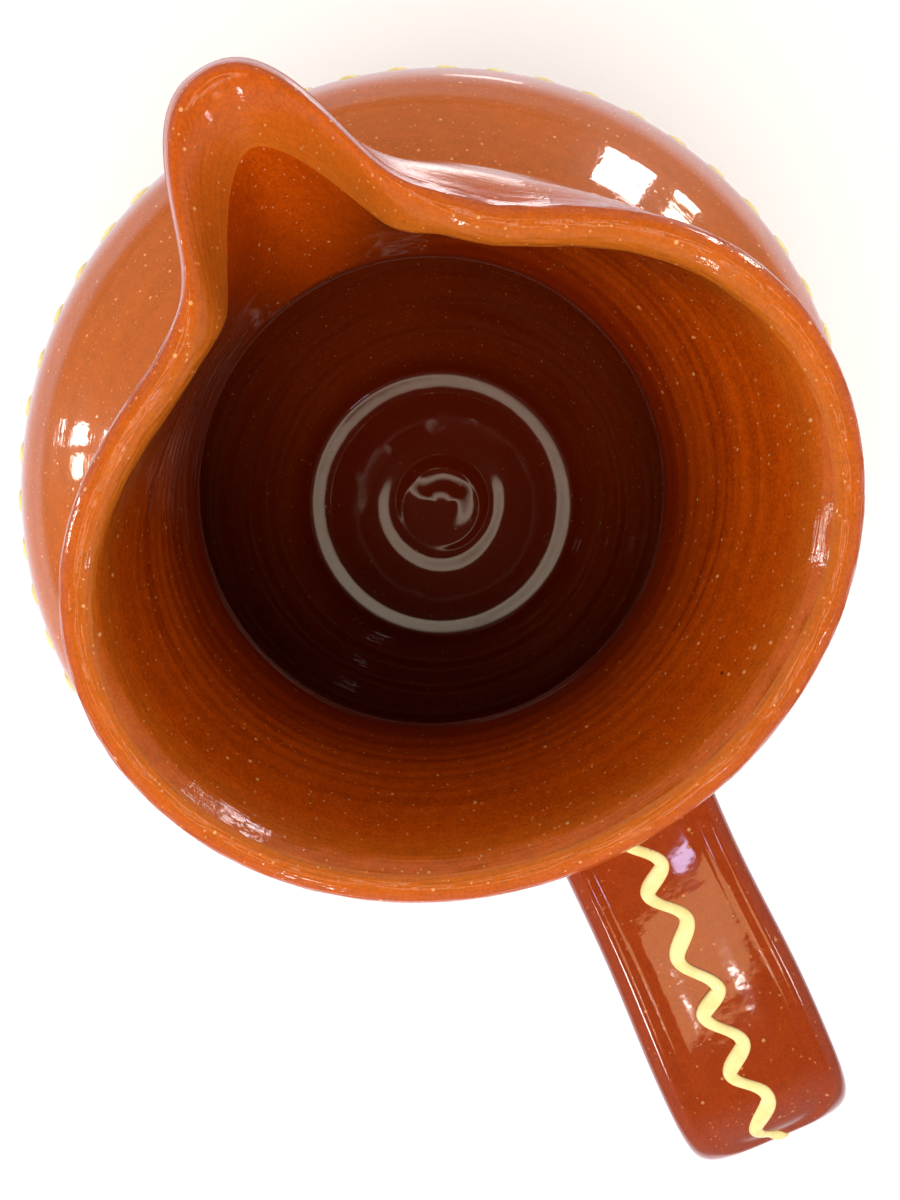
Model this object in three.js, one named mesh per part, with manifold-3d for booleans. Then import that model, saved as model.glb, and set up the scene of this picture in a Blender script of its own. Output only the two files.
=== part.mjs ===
// Glazed terracotta pitcher: a thrown, round-bellied jug with a flared collar, a pulled spout and a strap
// handle. Millimetres, +Z up. The origin is the middle of the base, the spout points to +X and the handle to -X.
import * as THREE from "three";
import { mergeVertices } from "three/addons/utils/BufferGeometryUtils.js";
import Module from "manifold-3d";

const wasm = await Module();
wasm.setup();

const TAU = 2 * Math.PI;
const QUARTER_BEZIER = 0.552; // handle length, over radius, that makes a cubic curve a quarter circle
const GAP = 0.3; // clear space between two pieces that touch
const ENVELOPE_GROWTH = 0.45; // level growth that leaves the gap where a wall leans

// Thrown body, as it comes off the wheel
const HEIGHT = 180;
const BASE_R = 44;
const BASE_BEVEL = 1.5;
const BELLY_R = 94.4;
const BELLY_Z = 82;
const BELLY_OVAL = 1.1; // squeezed by this much along X, and spread as much along Y
const NECK_R = 47.8;
const NECK_Z = 143;
const RIM_R = 60;
const LIP_Z = 177; // where the lip starts to round over
const LIP_WIDTH = 5.6;
const WALL = 5.4;
const FLOOR_Z = 8;
const FLOOR_R = 40;
const SHOULDER_FULLNESS = 1.92; // a larger power keeps the shoulder wide for longer

// Rim outline after the spout is pulled: an oval, pressed in on each side of a narrow lobe
const RIM_MEAN_R = 66.8;
const RIM_SHIFT = 6;
const RIM_SHIFT_ANGLE = -0.13;
const RIM_OVAL = -0.3;
const PINCH_POWER = 1.76;
const PINCHES = [
  { angle: 0.59, depth: 27.4, spread: 0.88, growth: 1.35 }, // more growth leaves more of the collar bulging below
  { angle: -0.77, depth: 27.8, spread: 0.8, growth: 2.4 },
];
const FLARE_GROWTH = 1.15;
const SPOUT_REACH = 20.8;
const SPOUT_ANGLE = -0.03;
const SPOUT_SPREAD = 0.262;
const SPOUT_POWER = 2.57;
const SPOUT_DIP = 2; // the tip hangs this far below the rim

// Strap handle, pulled and set slightly askew
const STRAP_WIDTH = 28.6;
const STRAP_THICKNESS = 10;
const STRAP_Z = 162;
const STRAP_ROOT_X = 44; // this end is inside the collar's wall, which trims it
const STRAP_ELBOW_X = 111.5;
const ELBOW_R = 13;
const STRAP_FOOT_X = 86; // and this one is inside the belly's wall
const STRAP_FOOT_Z = 76;
const STRAP_DROP = 32; // how straight the strap falls below its elbow
const STRAP_SWEEP = { reach: 24, rise: 8 }; // and how it comes in to its foot
const STRAP_EDGE_POWER = 0.45; // powers below 1 square up an ellipse: the strap's edges and faces
const STRAP_FACE_POWER = 0.6;
const HANDLE_SKEW = 0.083; // sideways step per step outwards
const HANDLE_SIDESTEP = -8.2; // where the handle's plane crosses the Y axis
const LUTING = { spread: 19, swell: 5, upper: 9, lower: 12 }; // half-sizes of the clay at its two ends

// Cream slip, trailed on in waves
const TRAIL_WIDTH = 2.6;
const TRAIL_HEIGHT = 0.6;
const TRAIL_SIDE_SHIFT = 1;
const TRAIL_SWING = 2;
const TRAIL_STARTS = 64;
const TRAIL_TURNS = [70, 74, 80, 86, 93, 96.5, 103, 107.5, 113, 118, 124, 129, 135, 140, 146, 152, 158];
const BELLY_SLIP_Z = 99;
const BELLY_SLIP_SWING = 5;
const BELLY_SLIP_WAVES = 55;

// Fineness of the faceting
const COLUMNS = 68;
const SPOUT_CROWDING = 0.3; // columns stand closer together round the spout
const STRAP_SIDES = 20;
const STEPS_PER_TURN = 4;

const CLAY = { color: 0xa8481c, roughness: 0.18, metalness: 0 };
const SLIP = { color: 0xf3e3a0, roughness: 0.25, metalness: 0 };

const clamp01 = (x) => Math.min(1, Math.max(0, x));
const bump = (x, power) => Math.exp(-(Math.abs(x) ** power));
const squared = (x, power) => Math.sign(x) * Math.abs(x) ** power;
const wrap = (angle) => Math.atan2(Math.sin(angle), Math.cos(angle));
const polar = (radius, angle, z) => new THREE.Vector3(radius * Math.cos(angle), radius * Math.sin(angle), z);
const steps = (from, to, count) =>
  Array.from({ length: count + 1 }, (_, i) => from + ((to - from) * i) / count);

/** Joins rings of points into one closed skin. Each ring turns right-handed about the direction of travel. */
function skin(rings, firstCap, lastCap) {
  const size = rings[0].length;
  const looped = !firstCap;
  const points = looped ? rings.flat() : [...rings.flat(), firstCap, lastCap];
  const faces = [];
  const bands = looped ? rings.length : rings.length - 1;
  for (let i = 0; i < bands; i++) {
    const here = i * size;
    const next = ((i + 1) % rings.length) * size;
    for (let j = 0; j < size; j++) {
      const k = (j + 1) % size;
      faces.push(here + j, here + k, next + j, here + k, next + k, next + j);
    }
  }
  if (!looped) {
    const first = points.length - 2;
    const last = (rings.length - 1) * size;
    for (let j = 0; j < size; j++) {
      const k = (j + 1) % size;
      faces.push(first, k, j, first + 1, last + j, last + k);
    }
  }
  const geometry = new THREE.BufferGeometry().setFromPoints(points);
  geometry.setIndex(faces);
  return geometry;
}

function toSolid(geometry) {
  const bare = geometry.clone();
  bare.deleteAttribute("normal");
  bare.deleteAttribute("uv");
  const merged = mergeVertices(bare);
  return new wasm.Manifold(
    new wasm.Mesh({
      numProp: 3,
      vertProperties: new Float32Array(merged.attributes.position.array),
      triVerts: new Uint32Array(merged.index.array),
    }),
  );
}

function toGeometry(solid) {
  const mesh = solid.getMesh();
  const geometry = new THREE.BufferGeometry();
  geometry.setAttribute("position", new THREE.BufferAttribute(new Float32Array(mesh.vertProperties), 3));
  geometry.setIndex(new THREE.BufferAttribute(new Uint32Array(mesh.triVerts), 1));
  return geometry;
}

/** Outer radius of the thrown form at a height, before the collar is pulled about. */
function thrownRadius(z) {
  if (z < BELLY_Z) {
    const below = (BELLY_Z - z) / BELLY_Z;
    return BASE_R + (BELLY_R - BASE_R) * Math.cos((below * Math.PI) / 2);
  }
  if (z < NECK_Z) {
    const above = (z - BELLY_Z) / (NECK_Z - BELLY_Z);
    return NECK_R + ((BELLY_R - NECK_R) * (1 + Math.cos(Math.PI * above ** SHOULDER_FULLNESS))) / 2;
  }
  return NECK_R + (RIM_R - NECK_R) * clamp01((z - NECK_Z) / (LIP_Z - NECK_Z)) ** 1.5;
}

/** Outward step per step up. */
const lean = (z) => thrownRadius(z + 0.5) - thrownRadius(z - 0.5);

/** How far up the collar a height is, from 0 at the neck to 1 at the lip. */
const collarRise = (z) => clamp01((z - NECK_Z) / (LIP_Z - NECK_Z));
const spoutLobe = (angle) => bump(wrap(angle - SPOUT_ANGLE) / SPOUT_SPREAD, SPOUT_POWER);

/** How far the collar is pushed out of its thrown circle, at an angle and a rise up the collar. */
function pushed(angle, rise) {
  const oval = RIM_SHIFT * Math.cos(angle - RIM_SHIFT_ANGLE) + RIM_OVAL * Math.cos(2 * angle);
  const presses = PINCHES.map(
    (p) => p.depth * bump(wrap(angle - p.angle) / p.spread, PINCH_POWER) * rise ** p.growth,
  );
  return (RIM_MEAN_R - RIM_R + oval) * rise ** FLARE_GROWTH - presses[0] - presses[1];
}

/** How much the belly shares in the squeeze at a height: none at the base, none from the neck up. */
const squeeze = (z) => (z < NECK_Z ? Math.sin((Math.PI * z) / NECK_Z) : 0);

/** Outline at a height: the thrown circle, squeezed at the belly and pulled out of round towards the rim. */
function outline(angle, z) {
  const rise = collarRise(z);
  const spout = SPOUT_REACH * spoutLobe(angle) * (0.75 * rise + 0.25 * rise ** 5);
  return thrownRadius(z) - BELLY_OVAL * squeeze(z) * Math.cos(2 * angle) + pushed(angle, rise) + spout;
}

/** A point that lies the given depth inside the outline, square to it. */
function wallPoint(angle, z, depth) {
  const nudge = 0.001;
  const radius = outline(angle, z);
  const turn = Math.atan2((outline(angle + nudge, z) - outline(angle - nudge, z)) / (2 * nudge), radius);
  const dip = SPOUT_DIP * spoutLobe(angle) * collarRise(z);
  const point = polar(radius, angle, z - dip);
  return point.sub(polar(depth, angle - turn, 0));
}

const columnAngles = steps(0, TAU, COLUMNS)
  .slice(0, COLUMNS)
  .map((t) => t - SPOUT_CROWDING * Math.sin(t));
const roundRing = (radius, z) => columnAngles.map((angle) => polar(radius, angle, z));
const wallRing = (z, depth) => columnAngles.map((angle) => wallPoint(angle, z, depth));

function bodyGeometry() {
  const outside = steps(BASE_BEVEL, BELLY_Z, 9).concat(steps(BELLY_Z, NECK_Z, 9).slice(1));
  const collar = steps(NECK_Z, LIP_Z, 6).slice(1);
  const lip = steps(0, Math.PI, 6).slice(1, 6);
  const inside = steps(NECK_Z, FLOOR_Z + 6, 16);
  const rings = [
    roundRing(BASE_R - BASE_BEVEL, 0),
    ...[...outside, ...collar].map((z) => wallRing(z, 0)),
    ...lip.map((a) => wallRing(LIP_Z + (HEIGHT - LIP_Z) * Math.sin(a), (LIP_WIDTH * (1 - Math.cos(a))) / 2)),
    ...collar.reverse().map((z) => wallRing(z, WALL + (LIP_WIDTH - WALL) * collarRise(z))),
    ...inside.map((z) => wallRing(z, WALL * Math.hypot(1, lean(z)))),
    roundRing(FLOOR_R + 3, FLOOR_Z + 1.5),
    roundRing(FLOOR_R, FLOOR_Z),
  ];
  return skin(rings, new THREE.Vector3(0, 0, 0), new THREE.Vector3(0, 0, FLOOR_Z));
}

/** The body's outside, filled in and grown by the gap: what its neighbours are trimmed with. */
function bodyEnvelope() {
  const heights = steps(0, NECK_Z, 40).concat(steps(NECK_Z, HEIGHT, 10).slice(1));
  const rings = heights.map((z) => wallRing(z, -ENVELOPE_GROWTH));
  return toSolid(skin(rings, new THREE.Vector3(0, 0, 0), new THREE.Vector3(0, 0, HEIGHT)));
}

// The handle lies in an upright plane that is turned a little from the spout's own.
const outward = new THREE.Vector3(-1, HANDLE_SKEW, 0).normalize();
const sideways = new THREE.Vector3(-outward.y, outward.x, 0);
const inHandlePlane = (reach, z) =>
  outward.clone().multiplyScalar(reach).add(new THREE.Vector3(0, HANDLE_SIDESTEP, z));

function strapPath() {
  const elbow = STRAP_ELBOW_X + ELBOW_R;
  const roundness = QUARTER_BEZIER * ELBOW_R;
  const path = new THREE.CurvePath();
  path.add(new THREE.LineCurve3(inHandlePlane(STRAP_ROOT_X, STRAP_Z), inHandlePlane(STRAP_ELBOW_X, STRAP_Z)));
  path.add(
    new THREE.CubicBezierCurve3(
      inHandlePlane(STRAP_ELBOW_X, STRAP_Z),
      inHandlePlane(STRAP_ELBOW_X + roundness, STRAP_Z),
      inHandlePlane(elbow, STRAP_Z - ELBOW_R + roundness),
      inHandlePlane(elbow, STRAP_Z - ELBOW_R),
    ),
  );
  path.add(
    new THREE.CubicBezierCurve3(
      inHandlePlane(elbow, STRAP_Z - ELBOW_R),
      inHandlePlane(elbow, STRAP_Z - ELBOW_R - STRAP_DROP),
      inHandlePlane(STRAP_FOOT_X + STRAP_SWEEP.reach, STRAP_FOOT_Z + STRAP_SWEEP.rise),
      inHandlePlane(STRAP_FOOT_X, STRAP_FOOT_Z),
    ),
  );
  return path;
}

const strap = strapPath();
const strapLength = strap.getLength();

/** Where the strap's middle is, and which way its outer face looks, at a distance along it. */
function strapFrame(distance) {
  const u = clamp01((distance - STRAP_ROOT_X) / strapLength);
  const centre = strap.getPointAt(u);
  const along = strap.getTangentAt(u);
  const up = new THREE.Vector3().crossVectors(along, sideways).normalize();
  return { centre, up };
}

function strapGeometry(grown) {
  const halfWidth = STRAP_WIDTH / 2 + grown;
  const halfThickness = STRAP_THICKNESS / 2 + grown;
  const straight = steps(STRAP_ROOT_X, STRAP_ELBOW_X, 4);
  const bent = steps(STRAP_ELBOW_X, STRAP_ROOT_X + strapLength, 26).slice(1);
  const corners = steps(0, TAU, STRAP_SIDES).slice(0, STRAP_SIDES);
  const rings = [...straight, ...bent].map((distance) => {
    const { centre, up } = strapFrame(distance);
    return corners.map((a) => {
      const across = halfWidth * squared(Math.cos(a), STRAP_EDGE_POWER);
      const thick = halfThickness * squared(Math.sin(a), STRAP_FACE_POWER);
      return centre.clone().addScaledVector(sideways, across).addScaledVector(up, thick);
    });
  });
  return skin(rings, strapFrame(STRAP_ROOT_X).centre, strapFrame(STRAP_ROOT_X + strapLength).centre);
}

/** Clay smoothed round one end of the handle: a low cushion, trimmed by the body and the strap. */
function lutingGeometry(centre, halfHeight, envelope) {
  const cushion = new THREE.SphereGeometry(1, 22, 14);
  cushion.scale(LUTING.swell, LUTING.spread, halfHeight);
  cushion.rotateZ(-HANDLE_SKEW);
  cushion.translate(centre.x, centre.y, centre.z);
  return toGeometry(toSolid(cushion).subtract(envelope).subtract(toSolid(strapGeometry(GAP))));
}

const middleOf = (ring) =>
  ring.reduce((sum, point) => sum.add(point), new THREE.Vector3()).divideScalar(ring.length);

/** Four corners of a low ridge of slip, standing just clear of the surface below it. */
function ridge(middle, across, out) {
  const half = TRAIL_WIDTH / 2;
  const corners = [
    [-half, 0],
    [half, 0],
    [half * 0.6, TRAIL_HEIGHT],
    [-half * 0.6, TRAIL_HEIGHT],
  ];
  return corners.map(([side, lift]) =>
    middle.clone().addScaledVector(across, side).addScaledVector(out, lift + GAP),
  );
}

/** A wavy line down the middle of the strap's outer face, turning at each stated distance. */
function handleTrailGeometry() {
  const half = STRAP_THICKNESS / 2;
  const turns = [TRAIL_STARTS, ...TRAIL_TURNS];
  const swingAt = (distance) => {
    const i = Math.max(0, turns.findIndex((turn) => distance < turn) - 1);
    const part = clamp01((distance - turns[i]) / (turns[i + 1] - turns[i]));
    return -TRAIL_SWING * Math.cos(Math.PI * (i + part));
  };
  const pointAt = (distance) => {
    const { centre, up } = strapFrame(distance);
    const side = -TRAIL_SIDE_SHIFT + swingAt(distance);
    return { middle: centre.addScaledVector(up, half).addScaledVector(sideways, side), up };
  };
  const end = turns[turns.length - 1] - 0.01;
  const distances = steps(TRAIL_STARTS, end, TRAIL_TURNS.length * STEPS_PER_TURN);
  const rings = distances.map((distance) => {
    const { middle, up } = pointAt(distance);
    const ahead = pointAt(distance + 0.2).middle.sub(pointAt(distance - 0.2).middle).normalize();
    return ridge(middle, new THREE.Vector3().crossVectors(up, ahead).normalize(), up);
  });
  return skin(rings, middleOf(rings[0]), middleOf(rings[rings.length - 1]));
}

/** A wavy line of slip all the way round the shoulder. */
function bellySlipGeometry() {
  const pointAt = (angle) => {
    const z = BELLY_SLIP_Z + BELLY_SLIP_SWING * Math.sin(BELLY_SLIP_WAVES * angle);
    return polar(outline(angle, z), angle, z);
  };
  const count = BELLY_SLIP_WAVES * 6;
  const rings = steps(0, TAU, count)
    .slice(0, count)
    .map((angle) => {
      const middle = pointAt(angle);
      const out = polar(1, angle, -lean(middle.z)).normalize();
      const ahead = pointAt(angle + 0.002).sub(pointAt(angle - 0.002)).normalize();
      return ridge(middle, new THREE.Vector3().crossVectors(out, ahead).normalize(), out);
    });
  return skin(rings);
}

function piece(name, geometry, look) {
  const mesh = new THREE.Mesh(geometry, new THREE.MeshStandardMaterial(look));
  mesh.name = name;
  return mesh;
}

const envelope = bodyEnvelope();
const handle = toSolid(strapGeometry(0)).subtract(envelope);
const upperRoot = inHandlePlane(STRAP_ROOT_X + 8, STRAP_Z);
const lowerRoot = inHandlePlane(STRAP_FOOT_X + 9, STRAP_FOOT_Z + 3);

const pitcher = new THREE.Group();
pitcher.add(piece("thrown_body", bodyGeometry(), CLAY));
pitcher.add(piece("strap_handle", toGeometry(handle), CLAY));
pitcher.add(piece("upper_luting", lutingGeometry(upperRoot, LUTING.upper, envelope), CLAY));
pitcher.add(piece("lower_luting", lutingGeometry(lowerRoot, LUTING.lower, envelope), CLAY));
pitcher.add(piece("handle_slip_trail", handleTrailGeometry(), SLIP));
pitcher.add(piece("belly_slip_wave", bellySlipGeometry(), SLIP));

export default pitcher;
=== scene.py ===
"""Glazed terracotta pitcher: thrown body, pulled spout, strap handle and lines of trailed cream slip.

Shapes are worked out in millimetres, in the CAD frame, and turned into metres when a mesh is made.
"""

import math

import bpy
import numpy as np
from mathutils import Matrix, Vector


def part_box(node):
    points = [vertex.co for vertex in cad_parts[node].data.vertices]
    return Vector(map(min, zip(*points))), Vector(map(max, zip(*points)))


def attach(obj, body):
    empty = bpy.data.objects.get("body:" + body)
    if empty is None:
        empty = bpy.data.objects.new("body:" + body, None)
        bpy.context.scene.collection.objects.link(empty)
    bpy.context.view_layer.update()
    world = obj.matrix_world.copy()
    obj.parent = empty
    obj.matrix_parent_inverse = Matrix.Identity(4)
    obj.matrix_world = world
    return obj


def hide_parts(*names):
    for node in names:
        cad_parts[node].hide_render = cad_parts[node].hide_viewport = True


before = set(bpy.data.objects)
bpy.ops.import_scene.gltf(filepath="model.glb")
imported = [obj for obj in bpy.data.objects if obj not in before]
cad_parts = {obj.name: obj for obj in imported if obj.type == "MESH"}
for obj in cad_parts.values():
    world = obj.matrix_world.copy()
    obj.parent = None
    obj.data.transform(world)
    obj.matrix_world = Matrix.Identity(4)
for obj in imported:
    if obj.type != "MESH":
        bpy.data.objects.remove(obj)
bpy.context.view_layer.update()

MM = 0.001
TAU = 2 * math.pi

# --- Form, as in the CAD model --------------------------------------------------------------------

HEIGHT = round(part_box("thrown_body")[1][2] / MM, 1)
BASE_R, BASE_BEVEL = 44.0, 1.5
BELLY_R, BELLY_Z, BELLY_OVAL = 94.4, 82.0, 1.1
NECK_R, NECK_Z = 47.8, 143.0
RIM_R, LIP_Z, LIP_WIDTH = 60.0, HEIGHT - 3.0, 5.6
WALL, FLOOR_Z, FLOOR_R, FLOOR_CORNER = 5.4, 8.0, 40.0, 6.0
SHOULDER_FULLNESS = 1.92

RIM_MEAN_R, RIM_SHIFT, RIM_SHIFT_ANGLE, RIM_OVAL = 66.8, 6.0, -0.13, -0.3
PINCH_POWER = 1.76
PINCHES = ((0.59, 27.4, 0.88, 1.35), (-0.77, 27.8, 0.8, 2.4))  # angle, depth, spread, growth up the collar
FLARE_GROWTH = 1.15
SPOON_ANGLE, SPOON_SPREAD, SPOON_POWER = -0.04, 0.47, 5.0  # where the lip is drawn out broad and sloping
CHANNEL_ANGLE, CHANNEL_NEAR, CHANNEL_REACH, CHANNEL_POWER = -0.045, 33.0, 21.9, 1.7
CHANNEL_SPREADS = (0.26, 0.285)  # to its right and to its left, seen from the handle
CHANNEL_TOP, SPOON_CREST = LIP_Z - 4.0, 0.3
# Where the collar flares, the lip's arc ends early, so that it runs on into the collar.
FLARE_LEAN, FLARE_FULL, LIP_CUT = 0.77, 0.5, 0.22 * math.pi
SPOUT_REACH, SPOUT_ANGLE, SPOUT_SPREAD, SPOUT_POWER, SPOUT_DIP = 20.8, -0.03, 0.262, 2.57, 2.0

STRAP_WIDTH, STRAP_THICKNESS, STRAP_Z = 28.6, 10.0, 162.0
STRAP_ROOT, STRAP_ELBOW, ELBOW_R = 44.0, 111.5, 13.0
STRAP_FOOT, STRAP_FOOT_Z, STRAP_DROP = 86.0, 76.0, 32.0
STRAP_SWEEP = (24.0, 8.0)
STRAP_EDGE_POWER, STRAP_FACE_POWER = 0.45, 0.6
HANDLE_SKEW, HANDLE_SIDESTEP = 0.083, -8.2
PANEL_HALF, PANEL_SLOPE, PANEL_SINK = 9.6, 2.0, 0.8
PANEL_END, PANEL_CORNER = 121.0, 8.0
SUNK = 2.5  # how deep the handle's roots stand in the wall
UPPER_LUTING, LOWER_LUTING, LUTING_INSET, LUTING_SUNK = 4.5, 6.0, 0.35, 0.8

TRAIL_TURNS = (70, 74, 80, 86, 93, 96.5, 103, 107.5, 113, 118, 124, 129, 135, 140, 146, 152, 158)
TRAIL_STARTS, TRAIL_SIDE_SHIFT, TRAIL_SWING = 64.0, 1.0, 2.0
TRAIL_WIDTH, TRAIL_THINNING, TRAIL_HEIGHT = 2.35, 0.55, 0.6
BELLY_SLIP_Z, BELLY_SLIP_SWING, BELLY_SLIP_WAVES = 99.0, 5.0, 55
BELLY_SLIP_WIDTH, BELLY_SLIP_HEIGHT = 2.6, 0.7

# --- Glaze, painted point by point ----------------------------------------------------------------

GLAZE_PAINT_LAYER = "glaze_thickness_and_painted_shade"
# What each point of the glaze is painted with: how strongly the wheel's streaks show, how thick the glaze
# lies (1 where it gathered thick, below 0 where it ran thin) and how hammered it is. The thickness also
# carries painted shade, darker deeper down the collar, in the hollow and on the floor inside, and painted
# light, lighter on the lip's inner slope and at the collar's top.
STRAP_PAINT, BODY_PAINT = (0.0, 0.60, 0.15), (0.35, -0.26, 0.15)
# The floor inside is painted as dark as the hollow: thick glaze and painted shade.
BASE_PAINT, FLOOR_PAINT = (0.0, 0.0, 0.0), (0.3, 0.93, 0.0)
# Painted shade as well as thick glaze: how dark the collar's foot and the hollow are painted, how much
# lighter the hollow gets lower down, and how fast the darkening grows down the collar.
POOL_SHADE_LEVEL, HOLLOW_LIGHTER, POOL_SHADE_POWER = 0.93, 0.18, 1.9
# The rim's thicker glaze; thin glaze and painted light on the lip's inner slope and at the collar's top.
RIM_THICKER, LIP_THINNER_AND_LIT, COLLAR_TOP_THINNER_AND_LIT = 0.22, 0.32, 0.16

# --- Fineness of the meshes -----------------------------------------------------------------------

BODY_COLUMNS = 256
SPOUT_CROWDING = 0.35  # columns stand closer together round the spout
BELLY_ROWS, OUTER_COLLAR_ROWS, LIP_ROWS = 110, 40, 34
COLLAR_ROWS, HOLLOW_ROWS, FLOOR_ROWS = 60, 90, 80
STRAP_COLUMNS = 96


def clamp01(x):
    return np.clip(x, 0.0, 1.0)


def smooth(x):
    x = clamp01(x)
    return x * x * (3 - 2 * x)


def bump(x, power):
    return np.exp(-(np.abs(x) ** power))


def wrap(angle):
    return np.arctan2(np.sin(angle), np.cos(angle))


def squared(x, power):
    """Below 1, the power squares up an ellipse drawn with cosines and sines."""
    return np.sign(x) * np.abs(x) ** power


def ripples(seed, coords, count, lowest, highest):
    """Smooth noise of about unit height: waves of random direction and phase over the given coordinates."""
    rng = np.random.default_rng(seed)
    total = 0.0
    for _ in range(count):
        pull = [rng.uniform(lowest, highest) * rng.choice((-1, 1)) for _ in coords]
        phase = rng.uniform(0, TAU)
        total = total + np.sin(sum(k * c for k, c in zip(pull, coords)) + phase)
    return total / math.sqrt(count)


# --- Surfaces of the thrown body ------------------------------------------------------------------


def thrown_radius(z):
    """Outer radius of the thrown form at a height, before the collar is pulled about."""
    below = clamp01((BELLY_Z - z) / BELLY_Z)
    above = clamp01((z - BELLY_Z) / (NECK_Z - BELLY_Z))
    lower = BASE_R + (BELLY_R - BASE_R) * np.cos(below * math.pi / 2)
    upper = NECK_R + (BELLY_R - NECK_R) * (1 + np.cos(math.pi * above**SHOULDER_FULLNESS)) / 2
    collar = NECK_R + (RIM_R - NECK_R) * collar_rise(z) ** 1.5
    return np.where(z < BELLY_Z, lower, np.where(z < NECK_Z, upper, collar))


def collar_rise(z):
    return clamp01((z - NECK_Z) / (LIP_Z - NECK_Z))


def lean(z):
    return thrown_radius(z + 0.5) - thrown_radius(z - 0.5)


def spout_lobe(angle):
    return bump(wrap(angle - SPOUT_ANGLE) / SPOUT_SPREAD, SPOUT_POWER)


def pushed(angle, rise):
    """How far the collar is pushed out of its thrown circle, at an angle and a rise up the collar."""
    oval = RIM_SHIFT * np.cos(angle - RIM_SHIFT_ANGLE) + RIM_OVAL * np.cos(2 * angle)
    push = (RIM_MEAN_R - RIM_R + oval) * rise**FLARE_GROWTH
    for at, depth, spread, growth in PINCHES:
        push = push - depth * bump(wrap(angle - at) / spread, PINCH_POWER) * rise**growth
    return push


def outline(angle, z):
    """Outer radius at an angle and height: squeezed at the belly, out of round towards the rim."""
    rise = collar_rise(z)
    spout = SPOUT_REACH * spout_lobe(angle) * (0.75 * rise + 0.25 * rise**5)
    squeeze = np.where(z < NECK_Z, np.sin(math.pi * z / NECK_Z), 0.0)
    return thrown_radius(z) - BELLY_OVAL * squeeze * np.cos(2 * angle) + pushed(angle, rise) + spout


def wall_point(angle, z, depth):
    """A point that lies the given depth inside the outline, square to it."""
    nudge = 0.001
    radius = outline(angle, z)
    slope = (outline(angle + nudge, z) - outline(angle - nudge, z)) / (2 * nudge)
    inward = angle - np.arctan2(slope, radius)
    dip = SPOUT_DIP * spout_lobe(angle) * collar_rise(z)
    x = radius * np.cos(angle) - depth * np.cos(inward)
    y = radius * np.sin(angle) - depth * np.sin(inward)
    return np.stack([x, y, z - dip], -1)


def outer_surface(angle, z):
    """The body's outside at an angle and height, with its outward normal."""
    step = 0.002
    here = wall_point(angle, z, 0.0)
    across = wall_point(angle + step, z, 0.0) - wall_point(angle - step, z, 0.0)
    up = wall_point(angle, z + 0.3, 0.0) - wall_point(angle, z - 0.3, 0.0)
    return here, unit(np.cross(across, up))


def unit(v):
    return v / np.maximum(np.linalg.norm(v, axis=-1, keepdims=True), 1e-9)


# --- Meshes ---------------------------------------------------------------------------------------


def grid_faces(rows, columns, looped_rows):
    i = np.arange(rows if looped_rows else rows - 1)[:, None]
    j = np.arange(columns)[None, :]
    here, there = i * columns, ((i + 1) % rows) * columns
    k = (j + 1) % columns
    return np.stack([here + j, here + k, there + k, there + j], -1).reshape(-1, 4)


def make_piece(name, points, faces, stands_for, material):
    """A smooth mesh piece from points in millimetres, riding on the part's one body."""
    mesh = bpy.data.meshes.new(name)
    mesh.from_pydata((np.asarray(points) * MM).tolist(), [], [list(map(int, f)) for f in faces])
    mesh.validate()
    mesh.polygons.foreach_set("use_smooth", [True] * len(mesh.polygons))
    mesh.materials.append(material)
    piece = bpy.data.objects.new(name, mesh)
    bpy.context.scene.collection.objects.link(piece)
    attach(piece, "root")
    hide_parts(*stands_for)
    return piece


def make_skin(name, grid, stands_for, material, looped_rows=False):
    """A closed mesh from rows of points. Fans cap the first and last, unless the rows form a loop."""
    rows, columns, _ = grid.shape
    points = grid.reshape(-1, 3)
    faces = grid_faces(rows, columns, looped_rows).tolist()
    if not looped_rows:
        first, last = len(points), len(points) + 1
        points = np.vstack([points, grid[0].mean(0), grid[-1].mean(0)])
        end = (rows - 1) * columns
        for j in range(columns):
            k = (j + 1) % columns
            faces.append([first, k, j])
            faces.append([last, end + j, end + k])
    return make_piece(name, points, faces, stands_for, material)


def grid_normals(grid):
    """Outward normals of a grid of points, whose columns close into rings."""
    along = np.gradient(grid, axis=0)
    around = np.roll(grid, -1, axis=1) - np.roll(grid, 1, axis=1)
    return unit(np.cross(around, along))


# --- Materials ------------------------------------------------------------------------------------


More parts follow.
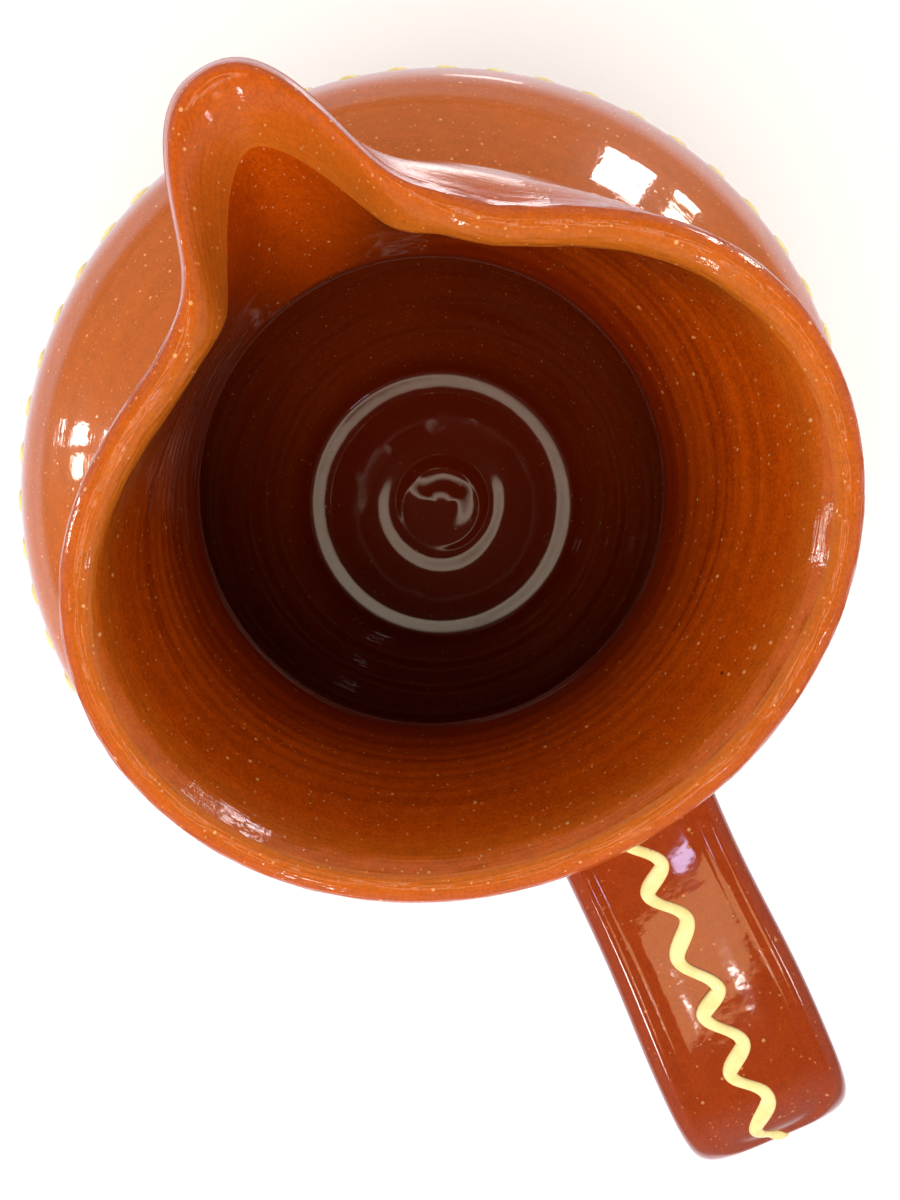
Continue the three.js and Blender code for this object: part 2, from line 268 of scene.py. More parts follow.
class Nodes:
    """A short way of writing a node tree."""

    def __init__(self, name):
        self.material = bpy.data.materials.new(name)
        self.material.use_nodes = True
        self.tree = self.material.node_tree
        self.tree.nodes.clear()
        self.place = self.add("ShaderNodeTexCoord").outputs["Object"]

    def add(self, kind, inputs=None, **settings):
        node = self.tree.nodes.new(kind)
        for key, value in settings.items():
            setattr(node, key, value)
        for key, value in (inputs or {}).items():
            self.feed(node.inputs[key], value)
        return node

    def feed(self, socket, value):
        if isinstance(value, bpy.types.NodeSocket):
            self.tree.links.new(value, socket)
        elif isinstance(value, (tuple, list)) and socket.type == "RGBA":
            socket.default_value = (*value, 1.0)[:4]
        else:
            socket.default_value = value

    def maths(self, operation, a, b=0.0, c=0.0):
        return self.add("ShaderNodeMath", {0: a, 1: b, 2: c}, operation=operation).outputs[0]

    def mix(self, amount, a, b, blend="MIX"):
        node = self.add("ShaderNodeMix", data_type="RGBA", blend_type=blend)
        self.feed(node.inputs[0], amount)
        self.feed(node.inputs[6], a)
        self.feed(node.inputs[7], b)
        return node.outputs[2]

    def stretch(self, scale):
        """The object's own coordinates, multiplied along each axis."""
        return self.add("ShaderNodeMapping", {"Vector": self.place, "Scale": scale}).outputs[0]

    def noise(self, scale, detail=3.0, rough=0.5, vector=None):
        inputs = {"Vector": vector or self.place, "Scale": scale, "Detail": detail, "Roughness": rough}
        return self.add("ShaderNodeTexNoise", inputs).outputs["Fac"]

    def ramp(self, value, low, high):
        """0 below low, 1 above high, smooth between them."""
        inputs = {"Value": value, "From Min": low, "From Max": high}
        return self.add("ShaderNodeMapRange", inputs, interpolation_type="SMOOTHSTEP").outputs[0]

    def specks(self, scale, size, share):
        """Round dots in a share of the cells, at about the given share of a cell across."""
        cell = self.add("ShaderNodeTexVoronoi", {"Vector": self.place, "Scale": scale, "Randomness": 1.0})
        chosen = self.add("ShaderNodeSeparateColor", {"Color": cell.outputs["Color"]}).outputs[0]
        spot = self.ramp(cell.outputs["Distance"], size, size * 0.45)
        return self.maths("MULTIPLY", spot, self.maths("LESS_THAN", chosen, share))

    def split(self, vector):
        return self.add("ShaderNodeSeparateXYZ", {"Vector": vector}).outputs

    def finish(self, inputs):
        shader = self.add("ShaderNodeBsdfPrincipled", inputs)
        output = self.add("ShaderNodeOutputMaterial")
        self.tree.links.new(shader.outputs[0], output.inputs[0])
        return self.material


DRAINED_AND_LIT_GLAZE = (0.62, 0.25, 0.030)  # glaze run thin over the body and the lip, and painted light on the lip's inner slope and at the collar's top
THIN_GLAZE = (0.64, 0.092, 0.002)
THICK_GLAZE = (0.33, 0.034, 0.0005)
# Thick glaze gathered in the collar, the hollow and on the floor inside, and painted shade there.
POOLED_AND_SHADED_GLAZE = (0.125, 0.0066, 0.0003)
RAW_CLAY = (0.42, 0.17, 0.085)
PALE_GRIT = (0.90, 0.46, 0.17)
DARK_GRIT = (0.05, 0.012, 0.004)
CREAM = (0.95, 0.83, 0.38)
THIN_CREAM = (0.80, 0.60, 0.20)
SLIP_GRIT = (0.50, 0.25, 0.06)


def glaze_material():
    """Amber glossy glaze over red clay: streaked by the wheel, speckled by grit, dark where it gathers thick
    inside, with painted shade deeper in the collar and the hollow, and painted light on the lip and at the
    collar's top.
    """
    n = Nodes("amber_glaze")
    painted = n.add("ShaderNodeAttribute", attribute_name=GLAZE_PAINT_LAYER)
    wheel, gathered_and_shaded, hammered = n.split(painted.outputs["Vector"])
    cloud = n.ramp(n.noise(55.0, 4.0, 0.6), 0.30, 0.72)
    mottle = n.ramp(n.noise(420.0, 3.0, 0.65), 0.35, 0.65)
    rings = n.ramp(n.noise(9.0, 5.0, 0.72, n.stretch((1.0, 1.0, 40.0))), 0.42, 0.68)
    thick = n.maths("MULTIPLY", n.maths("MULTIPLY", rings, wheel), 0.6)
    thick = n.maths("MULTIPLY_ADD", cloud, 0.16, n.maths("MULTIPLY_ADD", mottle, 0.2, thick))
    grain = n.ramp(n.noise(2100.0, 2.0, 0.6), 0.38, 0.62)
    thick = n.maths("MULTIPLY_ADD", grain, 0.34, thick)
    colour = n.mix(thick, THIN_GLAZE, THICK_GLAZE)
    # Lighter where the paint is below 0: thin glaze, and painted light on the lip and at the collar's top.
    # Darker where it is above 0: thick glaze, and painted shade down the collar, in the hollow and on the
    # floor inside.
    colour = n.mix(n.maths("MULTIPLY", gathered_and_shaded, -1.0), colour, DRAINED_AND_LIT_GLAZE)
    colour = n.mix(gathered_and_shaded, colour, POOLED_AND_SHADED_GLAZE)
    pale = n.specks(430.0, 0.17, 0.20)
    fine = n.specks(1000.0, 0.26, 0.24)
    dark = n.specks(240.0, 0.11, 0.05)
    shown = n.maths("MULTIPLY_ADD", n.maths("MAXIMUM", gathered_and_shaded, 0.0), -0.85, 1.0)
    colour = n.mix(n.maths("MULTIPLY", n.maths("MULTIPLY", pale, 0.8), shown), colour, PALE_GRIT)
    colour = n.mix(n.maths("MULTIPLY", n.maths("MULTIPLY", fine, 0.45), shown), colour, PALE_GRIT)
    colour = n.mix(n.maths("MULTIPLY", dark, 0.8), colour, DARK_GRIT)
    foot = n.ramp(n.maths("MULTIPLY_ADD", n.noise(60.0), 0.002, n.split(n.place)[2]), 0.0026, 0.0016)
    colour = n.mix(foot, colour, RAW_CLAY)
    roughness = n.maths("MULTIPLY_ADD", foot, 0.5, n.maths("MULTIPLY_ADD", cloud, 0.06, 0.3))
    relief = n.maths("MULTIPLY_ADD", n.noise(850.0, 2.0), 0.9, n.maths("MULTIPLY", fine, 0.5))
    strokes = n.noise(12.0, 4.0, 0.7, n.stretch((1.0, 1.0, 70.0)))
    relief = n.maths("MULTIPLY", n.maths("MULTIPLY_ADD", strokes, 2.2, relief), hammered)
    relief = n.maths("MULTIPLY_ADD", n.noise(260.0, 2.0), 0.5, n.maths("MULTIPLY_ADD", pale, 0.6, relief))
    relief = n.maths("MULTIPLY_ADD", n.noise(90.0, 2.0), 1.0, n.maths("MULTIPLY", relief, shown))
    normal = n.add("ShaderNodeBump", {"Strength": 0.15, "Distance": 0.0004, "Height": relief}).outputs[0]
    gloss = n.maths("SUBTRACT", 1.0, foot)
    return n.finish({
        "Base Color": colour,
        "Roughness": roughness,
        "Normal": normal,
        "IOR": 1.5,
        "Specular IOR Level": 0.05,
        "Coat Weight": gloss,
        "Coat Roughness": 0.045,
        "Coat IOR": 1.5,
        "Coat Normal": normal,
    })


def slip_material():
    """Cream slip under the same glaze, a little greener and darker where it thins."""
    n = Nodes("cream_slip")
    cloud = n.ramp(n.noise(260.0, 3.0, 0.6), 0.35, 0.7)
    colour = n.mix(n.maths("MULTIPLY", cloud, 0.55), CREAM, THIN_CREAM)
    colour = n.mix(n.maths("MULTIPLY", n.specks(700.0, 0.2, 0.1), 0.6), colour, SLIP_GRIT)
    relief = {"Strength": 0.2, "Distance": 0.0003, "Height": n.noise(500.0, 2.0)}
    normal = n.add("ShaderNodeBump", relief).outputs[0]
    return n.finish({
        "Base Color": colour,
        "Roughness": n.maths("MULTIPLY_ADD", cloud, 0.1, 0.3),
        "Normal": normal,
        "Specular IOR Level": 0.05,
        "Coat Weight": 0.9,
        "Coat Roughness": 0.05,
        "Coat IOR": 1.5,
    })


# --- Pieces ---------------------------------------------------------------------------------------


def spoon(angle):
    """1 where the lip is drawn out broad and sloping round the spout, 0 elsewhere."""
    return bump(wrap(angle - SPOON_ANGLE) / SPOON_SPREAD, SPOON_POWER)


def channel_edge(angle):
    """Radius of the brink where the broad lip turns down into the spout's channel."""
    off = wrap(angle - CHANNEL_ANGLE)
    spread = np.where(off < 0, *CHANNEL_SPREADS)
    return CHANNEL_NEAR + CHANNEL_REACH * bump(off / spread, CHANNEL_POWER)


def spoon_points(angle, throat):
    """Rows of points across the broad lip, then straight down the channel to the throat."""
    a = angle[None, :]
    share = (1 - np.cos(np.linspace(0, math.pi, LIP_ROWS + 2)[1:-1])) / 2
    rim, brink = outline(a, np.full_like(a, LIP_Z)), channel_edge(a)
    lip_radius = rim + (brink - rim) * share[:, None]
    crest = np.sin(math.pi / 2 * np.minimum(share / SPOON_CREST, 1))
    fall = clamp01((share - SPOON_CREST) / (1 - SPOON_CREST)) ** 1.7
    lip_z = LIP_Z + (HEIGHT - LIP_Z) * crest - (HEIGHT - CHANNEL_TOP) * fall
    down = np.linspace(0, 1, COLLAR_ROWS)[:, None]
    radius = np.concatenate([lip_radius, brink + (np.hypot(throat[:, 0], throat[:, 1]) - brink) * down])
    z = np.concatenate([lip_z[:, None] + 0 * a, CHANNEL_TOP + (throat[:, 2] - CHANNEL_TOP) * down])
    z[: len(share)] -= SPOUT_DIP * spout_lobe(a)
    z[len(share) :] -= SPOUT_DIP * spout_lobe(a) * (1 - down) ** 2
    return np.stack([radius * np.cos(a), radius * np.sin(a), z], -1)


def lip_and_collar(angle):
    """Height and depth of the rows over the lip and down the collar, and the lip rows' share of its width."""
    flare = clamp01((outline(angle, LIP_Z) - outline(angle, LIP_Z - 1.0)) / FLARE_FULL)
    arc = math.pi - LIP_CUT * flare
    over = np.linspace(0, 1, LIP_ROWS + 2)[1:-1, None] * arc
    share = (1 - np.cos(over)) / 2
    top = LIP_Z + (HEIGHT - LIP_Z) * np.sin(arc)
    collar = top + (NECK_Z - top) * np.linspace(0, 1, COLLAR_ROWS)[:, None]
    lean_in = FLARE_LEAN * flare
    wall = LIP_WIDTH * (1 - np.cos(arc)) / 2 + lean_in * (top - LIP_Z)
    depth = WALL + (wall - WALL) * collar_rise(collar) ** 2 - lean_in * np.maximum(collar - LIP_Z, 0)
    z = np.concatenate([LIP_Z + (HEIGHT - LIP_Z) * np.sin(over), collar])
    return z, np.concatenate([LIP_WIDTH * share, depth]), share


def body_wall(angle):
    """Rows of points from the base's edge, over the lip and down to the floor, with their wheel marks."""
    belly = np.linspace(BASE_BEVEL, NECK_Z, BELLY_ROWS)
    outer_collar = np.linspace(NECK_Z, LIP_Z, OUTER_COLLAR_ROWS)
    outside = np.concatenate([belly, outer_collar[1:]])
    hollow = np.linspace(NECK_Z, FLOOR_Z + FLOOR_CORNER, HOLLOW_ROWS)[1:]
    inner_z, inner_depth, share = lip_and_collar(angle)
    around = np.zeros_like(angle)
    z = np.concatenate([outside[:, None] + around, inner_z, hollow[:, None] + around])
    hollow_depth = WALL * np.hypot(1, lean(hollow))[:, None]
    depth = np.concatenate([0 * outside[:, None] + around, inner_depth, hollow_depth + around])
    a = angle + 0 * z
    points = wall_point(a, z, depth)
    inner = slice(len(outside), len(outside) + LIP_ROWS + COLLAR_ROWS)
    drawn = spoon_points(angle, points[inner.stop - 1])
    amount = spoon(angle)[None, :, None]
    points[inner] += (drawn - points[inner]) * amount
    points += grid_normals(points) * wheel_marks(a, z, inner)[..., None]
    points += grid_normals(points) * lip_dents(a, z)[..., None]
    points[..., 2] += (0.35 * np.sin(2 * a + 0.6) + 0.25 * np.sin(3 * a + 2.0)) * collar_rise(z) ** 2
    return points, wall_paint(a, z, inner, share)


def wheel_marks(a, z, inner):
    """Height of the rings that the wheel left outside, down the collar and in the hollow."""
    turns = a / TAU
    drift = 0.9 * np.sin(z / 5.3 + 1.0) + 0.7 * np.sin(z / 3.1)
    rings = 0.08 * np.sin(TAU * (z / 6.5 + turns) + drift)
    rings = rings + 0.05 * np.sin(TAU * z / 2.4 + drift) * bump((z - NECK_Z + 11) / 7, 2.0)
    in_collar = (1 - spoon(a)) * smooth((LIP_Z - 5 - z) / 9) * smooth((z - NECK_Z + 3) / 6)
    collar_rings = 0.05 * np.sin(TAU * (z / 2.9 + turns) + 2 * drift) * in_collar
    hollow_rings = 0.28 * np.sin(TAU * (z / 9.0 + turns) + drift) * smooth((NECK_Z - 8 - z) / 20)
    rings[inner] = collar_rings[inner]
    rings[inner.stop :] = hollow_rings[inner.stop :]
    return rings


def lip_dents(a, z):
    """Height of the lip's fine unevenness, which breaks its reflections into dashes."""
    on_lip = smooth((z - LIP_Z + 3) / 3) * (1 - spoon(a))
    return 0.055 * ripples(11, (a, z), 14, 9, 46) * on_lip


def wall_paint(a, z, inner, share):
    """The glaze's paint: thin and painted light over the lip's inner slope and at the collar's top, thicker
    and painted darker down the collar, thick and painted with shade in the hollow.
    """
    wheel, gathered_and_shaded, hammered = (np.full_like(z, level) for level in BODY_PAINT)
    near_rim = smooth((z - LIP_Z + 6) / 6)
    smoothed = 1 - spoon(a)
    gathered_and_shaded = gathered_and_shaded + RIM_THICKER * near_rim
    # The lip's inner slope is painted lighter: thin glaze, and painted light.
    gathered_and_shaded[inner.start : inner.start + LIP_ROWS] -= LIP_THINNER_AND_LIT * share
    within = slice(inner.start + LIP_ROWS, None)
    # Painted shade: darker and darker down the collar along with the thicker glaze, less so in the spout's
    # channel.
    sinking = smooth((LIP_Z + 1 - z) / (LIP_Z - NECK_Z + 3)) ** POOL_SHADE_POWER
    gathered_and_shaded[within] = (POOL_SHADE_LEVEL * sinking * (1 - 0.3 * spoon(a)))[within]
    # The hollow: thick glaze and painted shade, a little lighter lower down.
    gathered_and_shaded[inner.stop :] = POOL_SHADE_LEVEL - HOLLOW_LIGHTER * smooth((NECK_Z - z) / 14)[inner.stop :]
    # Painted light at the collar's top, where the glaze also runs thin.
    gathered_and_shaded[within] -= (COLLAR_TOP_THINNER_AND_LIT * near_rim * smoothed)[within]
    wheel[within] = (smoothed * smooth((LIP_Z - 4 - z) / 8))[within]
    hammered = hammered + 0.85 * smooth((z - LIP_Z + 10) / 8)
    return np.stack([wheel, gathered_and_shaded, hammered], -1)


def make_body(material):
    angle = np.linspace(0, TAU, BODY_COLUMNS, endpoint=False)
    angle = angle - SPOUT_CROWDING * np.sin(angle)
    wall, painted_wall = body_wall(angle)
    base = np.stack([ring(radius, 0.0, angle) for radius in (4.0, 20.0, BASE_R - BASE_BEVEL)])
    radii = np.linspace(FLOOR_R + 5, 1.0, FLOOR_ROWS)
    floor = np.stack([ring(radius, floor_height(radius, angle), angle) for radius in radii])
    grid = np.concatenate([base, wall, floor])
    piece = make_skin("thrown_body_glazed", grid, ["thrown_body"], material)
    painted_base = np.broadcast_to(BASE_PAINT, base.shape)
    painted_floor = np.broadcast_to(FLOOR_PAINT, floor.shape)
    painted = np.concatenate([painted_base, painted_wall, painted_floor]).reshape(-1, 3)
    paint(piece, np.vstack([painted, BASE_PAINT, FLOOR_PAINT]))


def paint(piece, values):
    """Give each point of a piece its paint, or all of them the same one."""
    layer = piece.data.attributes.new(GLAZE_PAINT_LAYER, "FLOAT_VECTOR", "POINT")
    count = len(piece.data.vertices)
    layer.data.foreach_set("vector", np.broadcast_to(values, (count, 3)).ravel())


def ring(radius, z, angle):
    return np.stack([radius * np.cos(angle), radius * np.sin(angle), z + 0 * angle], -1)


def slope(x, start, end, soft=0.6):
    """0 up to start, 1 from end, and evenly rising between them with softened corners."""
    return (soften(x - start, soft) - soften(x - end, soft)) / (end - start)


def soften(x, soft):
    return soft * np.logaddexp(0, x / soft)


# The floor's steps: how high each is, between which radii it slopes, and where the terrace has its gap.
BUTTON_HEIGHT, BUTTON_SLOPE, BUTTON_EDGE = 1.0, (4.5, 11.5), (12.5, 16.0)
TERRACE_HEIGHT, TERRACE_SLOPE, TERRACE_GAP_ANGLE = 0.95, (16.0, 22.0), -0.52
RING_HEIGHT, RING_SLOPE = 0.92, (37.2, 42.0)
CORNER_HEIGHT, CORNER_SLOPE = 2.0, (43.0, 46.0)


def floor_height(radius, angle):
    """The floor inside: terraces left by the fingers, whose slopes rise outwards, and a hollow corner."""
    from_gap = wrap(angle - TERRACE_GAP_ANGLE)
    off_centre = smooth(radius / 9)
    button = 0.25 + 0.85 * off_centre * (0.5 + 0.5 * np.cos(from_gap + 0.7))
    terrace = 1.0 - 0.8 * off_centre * bump(from_gap, 4.0)
    sway = 0.7 * np.sin(2 * angle + 0.5) + 0.5 * np.sin(3 * angle + 2.2)
    drop = BUTTON_HEIGHT * button * (slope(radius, *BUTTON_SLOPE) - slope(radius, *BUTTON_EDGE))
    step = TERRACE_HEIGHT * terrace * (slope(radius + sway, *TERRACE_SLOPE) - 1)
    ring_step = RING_HEIGHT * slope(radius + 0.25 * sway, *RING_SLOPE)
    corner = CORNER_HEIGHT * slope(radius, *CORNER_SLOPE)
    return FLOOR_Z + 0.1 + drop + step + (ring_step + corner)


def make_strap_curve():
    """The strap's middle line: distance along it, reach from the axis, height and heading."""
    straight = np.linspace(STRAP_ROOT, STRAP_ELBOW, 60)[:-1]
    turn = np.linspace(0, math.pi / 2, 40)
    elbow_x = STRAP_ELBOW + ELBOW_R * np.sin(turn)
    elbow_z = STRAP_Z - ELBOW_R + ELBOW_R * np.cos(turn)
    t = np.linspace(0, 1, 120)[1:]
    ends = (
        (elbow_x[-1], elbow_z[-1]),
        (elbow_x[-1], elbow_z[-1] - STRAP_DROP),
        (STRAP_FOOT + STRAP_SWEEP[0], STRAP_FOOT_Z + STRAP_SWEEP[1]),
        (STRAP_FOOT, STRAP_FOOT_Z),
    )
    weights = ((1 - t) ** 3, 3 * t * (1 - t) ** 2, 3 * t * t * (1 - t), t**3)
    drop = [sum(w * end[i] for w, end in zip(weights, ends)) for i in (0, 1)]
    reach = np.concatenate([straight, elbow_x, drop[0]])
    height = np.concatenate([0 * straight + STRAP_Z, elbow_z, drop[1]])
    distance = STRAP_ROOT + np.concatenate([[0], np.cumsum(np.hypot(np.diff(reach), np.diff(height)))])
    heading = np.unwrap(np.arctan2(np.gradient(height, distance), np.gradient(reach, distance)))
    return distance, reach, height, heading


STRAP_CURVE = make_strap_curve()
OUTWARD = unit(np.array([-1.0, HANDLE_SKEW, 0.0]))
SIDEWAYS = np.array([-OUTWARD[1], OUTWARD[0], 0.0])
UPWARD = np.array([0.0, 0.0, 1.0])
ORIGIN = np.array([0.0, HANDLE_SIDESTEP, 0.0])


def strap_frame(distance):
    """Middle of the strap and the way its outer face looks, at a distance along it."""
    along, reach, height, heading = STRAP_CURVE
    r, z, turn = (np.interp(distance, along, each)[..., None] for each in (reach, height, heading))
    middle = ORIGIN + OUTWARD * r + UPWARD * z
    return middle, UPWARD * np.cos(turn) - OUTWARD * np.sin(turn)


def crown_height(across):
    cosine = clamp01(np.abs(across) / (STRAP_WIDTH / 2)) ** (1 / STRAP_EDGE_POWER)
    return STRAP_THICKNESS / 2 * np.sqrt(clamp01(1 - cosine**2)) ** STRAP_FACE_POWER


def panel_sink(across, distance):
    """Depth of the sunk panel between the rolled edges, which closes in a round end before the bend."""
    side = np.maximum(np.abs(across) - PANEL_HALF + PANEL_CORNER, 0)
    end = np.maximum(distance - PANEL_END + PANEL_CORNER, 0)
    return PANEL_SINK * smooth((PANEL_CORNER + PANEL_SLOPE - np.hypot(side, end)) / PANEL_SLOPE)


def strap_section():
    """The strap's outline, evenly spaced round it: across, up, and whether it is on the outer face."""
    a = np.linspace(0, TAU, 4001)
    across = STRAP_WIDTH / 2 * squared(np.cos(a), STRAP_EDGE_POWER)
    up = STRAP_THICKNESS / 2 * squared(np.sin(a), STRAP_FACE_POWER)
    run = np.concatenate([[0], np.cumsum(np.hypot(np.diff(across), np.diff(up)))])
    at = np.linspace(0, run[-1], STRAP_COLUMNS, endpoint=False)
    up = np.interp(at, run, up)
    return np.interp(at, run, across), up, up > STRAP_THICKNESS / 4


def make_strap(material):
    across, up, outer = strap_section()
    root, face = strap_frame(np.array(STRAP_ROOT))
    flush = root + SIDEWAYS * across[:, None] + face * up[:, None]
    start = STRAP_ROOT + meet_body(flush, OUTWARD) - SUNK
    d = start[None, :] + np.linspace(0, 1, 260)[:, None] * (STRAP_CURVE[0][-1] - start)[None, :]
    middle, face = strap_frame(d)
    sway = 0.25 * np.sin(d / 17.0 + 0.5) + 0.18 * np.sin(d / 7.3 + np.sign(across) * 0.8)
    swell = 1 + 0.02 * np.sin(d / 13.0)
    side = across * swell + sway * np.sign(across) * smooth(np.abs(across) / 12)
    lift = up * (1 + 0.03 * np.sin(d / 9.0 + 1.0)) - outer * panel_sink(across, d)
    grid = middle + SIDEWAYS * side[..., None] + face * lift[..., None]
    piece = make_skin("strap_handle_glazed", grid, ["strap_handle"], material)
    paint(piece, STRAP_PAINT)


def meet_body(start, direction):
    """How far along a direction each start point reaches the body's outside, coming from within it."""
    low, high = np.zeros(len(start)), np.full(len(start), 45.0)
    for _ in range(40):
        middle = (low + high) / 2
        p = start + direction * middle[:, None]
        inside = np.hypot(p[:, 0], p[:, 1]) < outline(np.arctan2(p[:, 1], p[:, 0]), p[:, 2])
        low, high = np.where(inside, middle, low), np.where(inside, high, middle)
    return low


def make_luting(name, node, distance, along, heading_out, spread, material):
    """Clay smoothed into the corner between the strap and the body: a hollow-curved ring round the root.

    The strap stands in the body at a distance along itself, and leaves it in the direction along (1 or -1).
    """
    across, up, _ = strap_section()
    middle, face = strap_frame(np.array(distance))
    offset = SIDEWAYS * across[:, None] + face * up[:, None]
    reach = meet_body(middle + offset, heading_out)

    def strap_skin(out):
        at, facing = strap_frame(distance + along * out)
        return at + SIDEWAYS * across[:, None] + facing * up[:, None]

    corner = strap_skin(reach)
    on_strap = strap_skin(reach + spread) - unit(offset) * LUTING_INSET
    wider = middle + offset + unit(offset) * spread
    on_body = wider + heading_out * meet_body(wider, heading_out)[:, None]
    into_body, into_strap = heading_out * LUTING_SUNK, unit(offset) * LUTING_SUNK
    t = np.linspace(0, 1, 10)[:, None, None]
    pull = corner * 0.8 + 0.1 * (on_strap + on_body)
    skin = (1 - t) ** 2 * on_strap + 2 * t * (1 - t) * pull + t * t * on_body
    hidden = np.stack([on_body - into_body, corner - into_body - into_strap, on_strap - into_strap])
    grid = np.concatenate([skin, hidden])
    piece = make_skin(name, grid[::-1], [node], material, looped_rows=True)
    # for the skin, then for the hidden rows
    towards_body = np.concatenate([t.ravel(), (1.0, 0.5, 0.0)])[::-1, None]
    shade = np.array(STRAP_PAINT) + towards_body * (np.array(BODY_PAINT) - STRAP_PAINT)
    paint(piece, np.repeat(shade, len(across), axis=0))


def make_ridge(name, node, path, widths, height, surface, looped, material):
    """A low rounded ridge of slip along a path of surface coordinates, following the surface under it."""
    ahead = np.roll(path, -1, 0) - np.roll(path, 1, 0) if looped else np.gradient(path, axis=0)
    normal = unit(np.stack([-ahead[:, 1], ahead[:, 0]], -1))
    a = np.linspace(0, TAU, 18, endpoint=False)
    side = np.cos(a)[None, :] * widths[:, None] / 2
    crown, keel = np.maximum(np.sin(a), 0) ** 0.8, 0.5 * np.minimum(np.sin(a), 0)
    lift = (crown + keel)[None, :] * height[:, None] - 0.05
    where = path[:, None, :] + normal[:, None, :] * side[..., None]
    point, out = surface(where[..., 0], where[..., 1])
    grid = point + out * lift[..., None]
    return make_skin(name, grid, [node], material, looped_rows=looped)


def strap_surface(distance, across):
    middle, face = strap_frame(distance)
    height = crown_height(across) - panel_sink(across, distance)
    return middle + SIDEWAYS * across[..., None] + face * height[..., None], face


def make_handle_trail(material):
    turns = np.array([TRAIL_STARTS, *TRAIL_TURNS])
    distance = np.linspace(turns[0], turns[-1] - 1.0, 700)
    phase = np.interp(distance, turns, np.arange(len(turns)))
    swing = -TRAIL_SWING * np.cos(math.pi * phase)
    path = np.stack([distance, swing - TRAIL_SIDE_SHIFT], -1)
    ends = smooth((distance - turns[0]) / 1.5) * smooth((turns[-1] - 1 - distance) / 3)
    widths = (TRAIL_WIDTH - TRAIL_THINNING * np.sin(math.pi * phase)) * (0.15 + 0.85 * ends)
    height = TRAIL_HEIGHT * (0.1 + 0.9 * ends)
    make_ridge("handle_slip_wave", "handle_slip_trail", path, widths, height, strap_surface, False, material)


def make_belly_wave(material):
    angle = np.linspace(0, TAU, BELLY_SLIP_WAVES * 20, endpoint=False)
    z = BELLY_SLIP_Z + BELLY_SLIP_SWING * np.sin(BELLY_SLIP_WAVES * angle) + 0.8 * np.sin(3 * angle + 1)
    path = np.stack([angle * BELLY_R, z], -1)
    widths = BELLY_SLIP_WIDTH + 0.3 * np.sin(BELLY_SLIP_WAVES * angle + 0.7) + 0.2 * np.sin(7 * angle)
    height = np.full_like(angle, BELLY_SLIP_HEIGHT)
    make_ridge("belly_slip_line", "belly_slip_wave", path, widths, height, belly_surface, True, material)


def belly_surface(run, z):
    """The body's outside by the run round the belly, and the height."""
    return outer_surface(run / BELLY_R, z)


# --- Stage ----------------------------------------------------------------------------------------


CAMERA_PLACE, CAMERA_AIM = (-5.6, -1.9, HEIGHT + 126.0), (-29.2, 13.4, 0.0)
CAMERA_RIGHT = (-0.494, -0.8695, -0.0053)
SENSOR, LENS = 36.0, 27.0


def make_camera():
    """Held close above the mouth, leaning a little towards the handle."""
    data = bpy.data.cameras.new("camera")
    data.sensor_fit = "VERTICAL"
    data.sensor_width = data.sensor_height = SENSOR
    data.lens = LENS
    camera = bpy.data.objects.new("camera", data)
    bpy.context.scene.collection.objects.link(camera)
    place, aim = Vector(CAMERA_PLACE) * MM, Vector(CAMERA_AIM) * MM
    back = (place - aim).normalized()
    up = back.cross(Vector(CAMERA_RIGHT)).normalized()
    right = up.cross(back)
    camera.matrix_world = Matrix.Translation(place) @ Matrix((right, up, back)).transposed().to_4x4()
    bpy.context.scene.camera = camera


def make_floor():
    """A pale floor that the glaze mirrors more darkly than the camera sees it."""
    bpy.ops.mesh.primitive_plane_add(size=6.0)
    floor = bpy.context.object
    floor.name = "floor"
    n = Nodes("pale_floor")
    mirrored = n.add("ShaderNodeLightPath").outputs["Is Glossy Ray"]
    away = n.add("ShaderNodeVectorMath", {0: n.place}, operation="LENGTH").outputs["Value"]
    reflection = n.mix(n.ramp(away, 0.25, 0.8), (0.86, 0.82, 0.92), (0.22, 0.21, 0.22))
    colour = n.mix(mirrored, (0.95, 0.95, 0.95), reflection)
    inputs = {"Base Color": colour, "Roughness": 0.95, "Specular IOR Level": 0.1}
    floor.data.materials.append(n.finish(inputs))


def make_light(name, seen_from, bearing, distance, size, radiance, colour, spread=180):
    """A soft rectangular lamp. A point in mm sees it at a bearing: direction and elevation in degrees."""
    data = bpy.data.lights.new(name, "AREA")
    data.shape = "RECTANGLE"
    data.size, data.size_y = size
    data.energy = 4 * radiance * size[0] * size[1]
    data.color = colour
    data.spread = math.radians(spread)
    lamp = bpy.data.objects.new(name, data)
    bpy.context.scene.collection.objects.link(lamp)
    a, e = (math.radians(angle) for angle in bearing)
    towards = Vector((math.cos(e) * math.cos(a), math.cos(e) * math.sin(a), math.sin(e)))
    lamp.location = Vector(seen_from) * MM + distance * towards
    lamp.rotation_euler = towards.to_track_quat("Z", "Y").to_euler()
    return lamp


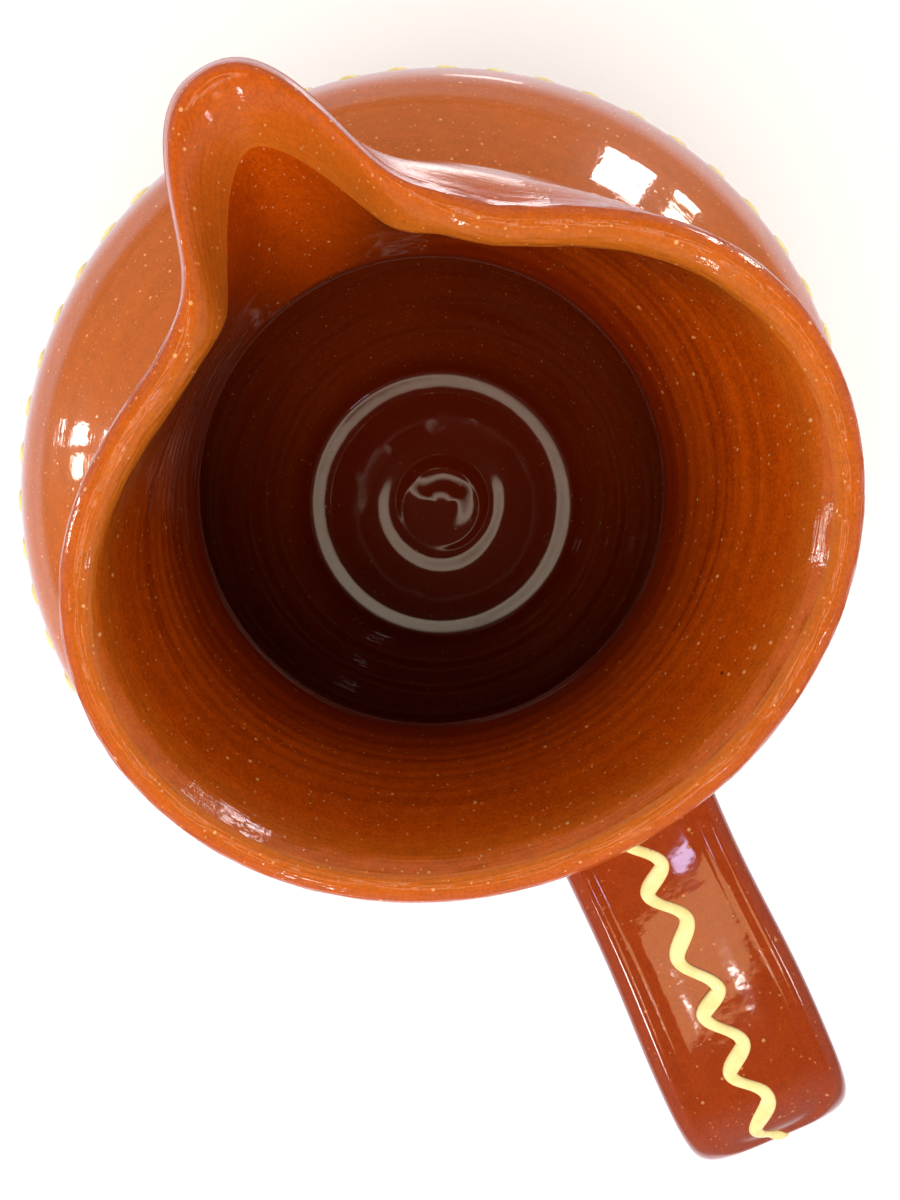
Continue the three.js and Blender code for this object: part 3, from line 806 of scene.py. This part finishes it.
def make_world():
    """A room: grey walls, a bright ring of ceiling, and dark right above, where the camera is held."""
    world = bpy.data.worlds.new("world")
    world.use_nodes = True
    tree = world.node_tree
    towards = tree.nodes.new("ShaderNodeTexCoord").outputs["Generated"]
    split = tree.nodes.new("ShaderNodeSeparateXYZ")
    tree.links.new(towards, split.inputs[0])
    ramp = tree.nodes.new("ShaderNodeValToRGB")
    tree.links.new(split.outputs[2], ramp.inputs[0])
    grey, ring = (1.0, 1.0, 1.0), (1.0, 0.86, 0.66)
    stops = (  # degrees from straight up, brightness, tint
        (90, 0.32, grey), (62, 0.42, grey), (50, 0.30, grey), (36, 0.10, grey),
        (20, 0.10, ring), (16, 1.8, ring), (13.5, 3.4, ring), (11.5, 2.6, ring), (10, 0.0, ring),
    )
    for i, (off, level, tint) in enumerate(stops):
        at = math.cos(math.radians(off))
        stop = ramp.color_ramp.elements[i] if i < 2 else ramp.color_ramp.elements.new(at)
        stop.position = at
        stop.color = (level * tint[0], level * tint[1], level * tint[2], 1)
    background = tree.nodes["Background"]
    tree.links.new(ramp.outputs[0], background.inputs["Color"])
    bpy.context.scene.world = world


def make_lights():
    make_world()
    shoulder_right, shoulder_left, strap_top = (35, -62, 124), (44, 58, 124), (-85, 0, 166)
    day, warm = (1.0, 0.97, 0.96), (1.0, 0.93, 0.78)
    make_light("window_a", shoulder_right, (-58.3, 4.8), 2.0, (0.30, 0.25), 26, day)
    make_light("window_b", shoulder_right, (-69.0, 1.6), 2.0, (0.17, 0.20), 22, warm)
    make_light("window_c", shoulder_left, (49.0, 4.0), 2.0, (0.12, 0.30), 26, day)
    make_light("window_d", shoulder_left, (54.0, 5.0), 2.0, (0.12, 0.26), 18, warm)
    make_light("ceiling", strap_top, (183.5, 59.8), 1.2, (0.42, 0.085), 3.4, (1.0, 0.60, 0.28))
    make_light("skylight", strap_top, (189.8, 63.6), 1.2, (0.10, 0.035), 14, (0.62, 0.62, 1.0))
    fill = make_light("fill", (0, 0, 130), (138, 67), 2.4, (2.4, 2.4), 3.1, (1.0, 0.99, 0.97))
    fill.visible_glossy = False
    only_reflected = [
        make_light("low_panel", (37, -25, 173), (-35.5, -37.5), 0.262, (0.045, 0.06), 0.036, day, spread=19),
        make_light("edge_left", strap_top, (128, 43), 1.2, (0.09, 0.16), 24, day),
        make_light("edge_right", strap_top, (223, 40), 1.2, (0.07, 0.10), 20, day),
        make_light("glint_right", strap_top, (184.3, 58.2), 1.2, (0.038, 0.008), 34, day),
        make_light("glint_left", strap_top, (173.4, 58.45), 1.2, (0.012, 0.009), 34, day),
    ]
    for lamp in only_reflected:
        lamp.visible_diffuse = False


glaze = glaze_material()
slip = slip_material()
make_body(glaze)
make_strap(glaze)
make_luting("upper_luting_glazed", "upper_luting", STRAP_ROOT + 2, 1, OUTWARD, UPPER_LUTING, glaze)
foot_out = unit(OUTWARD * STRAP_SWEEP[0] + UPWARD * STRAP_SWEEP[1])
make_luting("lower_luting_glazed", "lower_luting", STRAP_CURVE[0][-1], -1, foot_out, LOWER_LUTING, glaze)
make_handle_trail(slip)
make_belly_wave(slip)
make_floor()
make_camera()
make_lights()
bpy.context.scene.view_settings.view_transform = "Standard"
